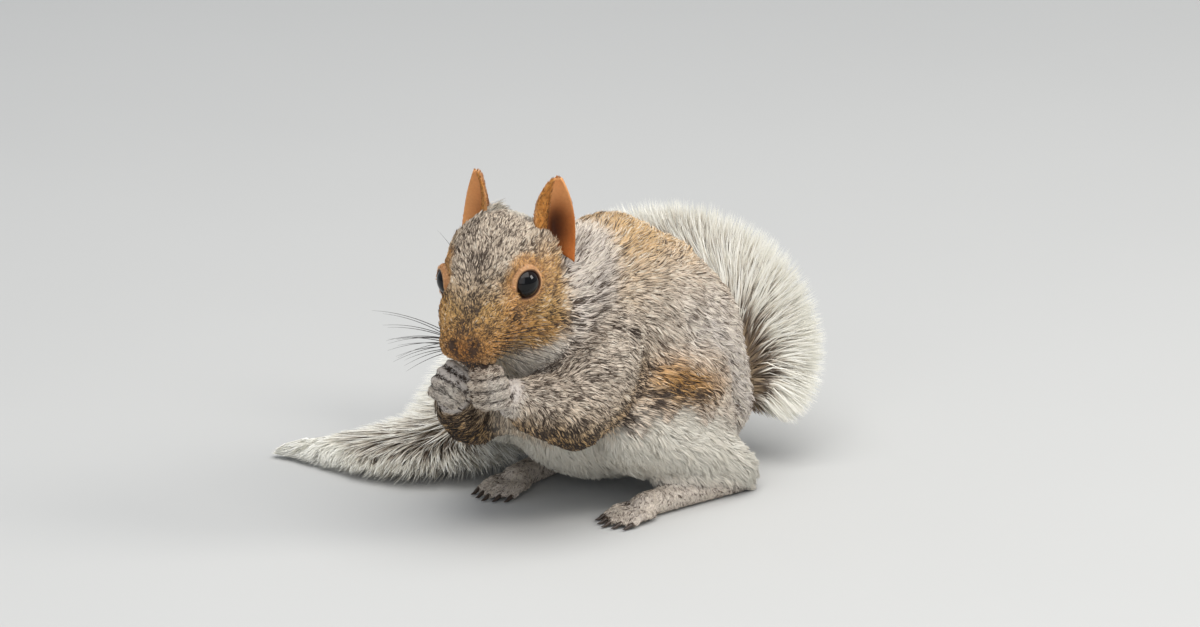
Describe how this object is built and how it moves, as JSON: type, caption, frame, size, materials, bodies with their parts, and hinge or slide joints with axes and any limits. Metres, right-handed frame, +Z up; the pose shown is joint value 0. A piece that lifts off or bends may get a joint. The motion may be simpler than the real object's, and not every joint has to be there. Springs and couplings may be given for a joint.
{
  "type": "grey squirrel model",
  "caption": "Still life-size grey squirrel, crouched on its haunches with forepaws held to its mouth and the bushy tail curled round behind it to the ground.",
  "frame": {"origin": "on the ground, under the middle of the whole model's box", "axes": "+Z up; the trunk faces -Y, with its left side towards +X; the head is turned 31 degrees to its left"},
  "size_m": [0.137, 0.1702, 0.1201],
  "materials": {
    "head_coat": "short grizzled brown-grey fur, rust on the muzzle",
    "body_coat": "dense grizzled grey and tan fur, white below",
    "tail_coat": "long banded tail hair with white tips",
    "paw_coat": "very short silver-grey fur",
    "ear_skin": "thin, finely furred, orange-tan",
    "eye": "wet black gloss",
    "claw": "dark horn, satin",
    "whisker": "dark bristle"
  },
  "bodies": {
    "root": {"head": "head_coat", "neck": "body_coat", "chest": "body_coat", "rump": "body_coat", "ear_left": "ear_skin", "ear_right": "ear_skin", "eye_left": "eye", "eye_right": "eye", "upper_arm_left": "body_coat", "upper_arm_right": "body_coat", "forearm_left": "body_coat", "forearm_right": "body_coat", "forepaw_left": "paw_coat", "forepaw_right": "paw_coat", "thigh_left": "body_coat", "thigh_right": "body_coat", "hind_foot_left": "paw_coat", "hind_foot_right": "paw_coat", "tail_1": "tail_coat", "tail_2": "tail_coat", "tail_3": "tail_coat", "tail_4": "tail_coat", "tail_5": "tail_coat"}
  },
  "joints": []
}
